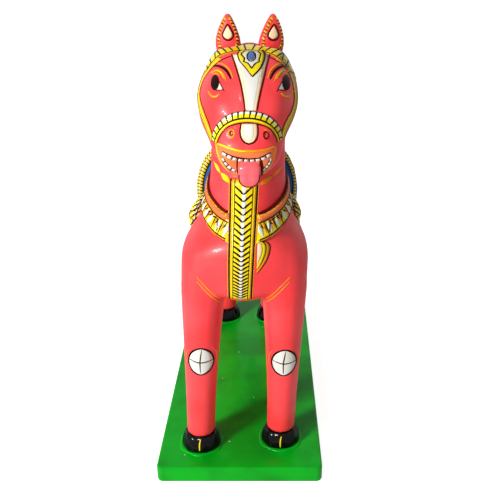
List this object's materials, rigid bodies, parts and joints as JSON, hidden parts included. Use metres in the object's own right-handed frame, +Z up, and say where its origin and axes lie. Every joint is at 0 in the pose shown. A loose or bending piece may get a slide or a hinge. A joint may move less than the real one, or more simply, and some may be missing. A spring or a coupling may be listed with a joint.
{
  "type": "painted wooden toy horse",
  "caption": "Carved wooden horse in glossy coral enamel with painted harness, saddle and open mouth, standing on a flat green plinth board.",
  "frame": {"origin": "centre of the underside of the plinth board", "axes": "+Z up along the horse's height, -Y the way the horse faces along the board's length, +X to the horse's left across the board's width"},
  "size_m": [0.112, 0.2503, 0.2953],
  "materials": {
    "red_enamel": "glossy coral red enamel on carved wood",
    "green_enamel": "glossy green enamel, brushed thick",
    "black_enamel": "glossy black enamel",
    "yellow_enamel": "glossy yellow enamel",
    "blue_enamel": "glossy blue enamel",
    "pink_enamel": "glossy pink enamel",
    "white_enamel": "glossy cream white enamel brushwork",
    "orange_enamel": "glossy orange enamel brushwork",
    "maroon_enamel": "glossy dark maroon enamel linework",
    "bare_wood": "bare light wood",
    "nail_steel": "dull wire nail"
  },
  "bodies": {
    "root": {"breast_collar": "yellow_enamel", "ear_left": "red_enamel", "ear_right": "red_enamel", "head": "red_enamel", "head_dowel": "bare_wood", "hoof_front_left": "black_enamel", "hoof_front_right": "black_enamel", "hoof_hind_left": "black_enamel", "hoof_hind_right": "black_enamel", "leg_front_left": "red_enamel", "leg_front_right": "red_enamel", "leg_hind_left": "red_enamel", "leg_hind_right": "red_enamel", "nail_front_left": "nail_steel", "nail_front_right": "nail_steel", "nail_hind_left": "nail_steel", "nail_hind_right": "nail_steel", "neck": "red_enamel", "neck_dowel": "bare_wood", "plinth_board": "green_enamel", "saddle": "yellow_enamel", "saddle_cloth": "blue_enamel", "saddle_peg_front": "bare_wood", "saddle_peg_rear": "bare_wood", "tail": "black_enamel", "tongue": "pink_enamel", "trunk": "red_enamel"}
  },
  "joints": []
}
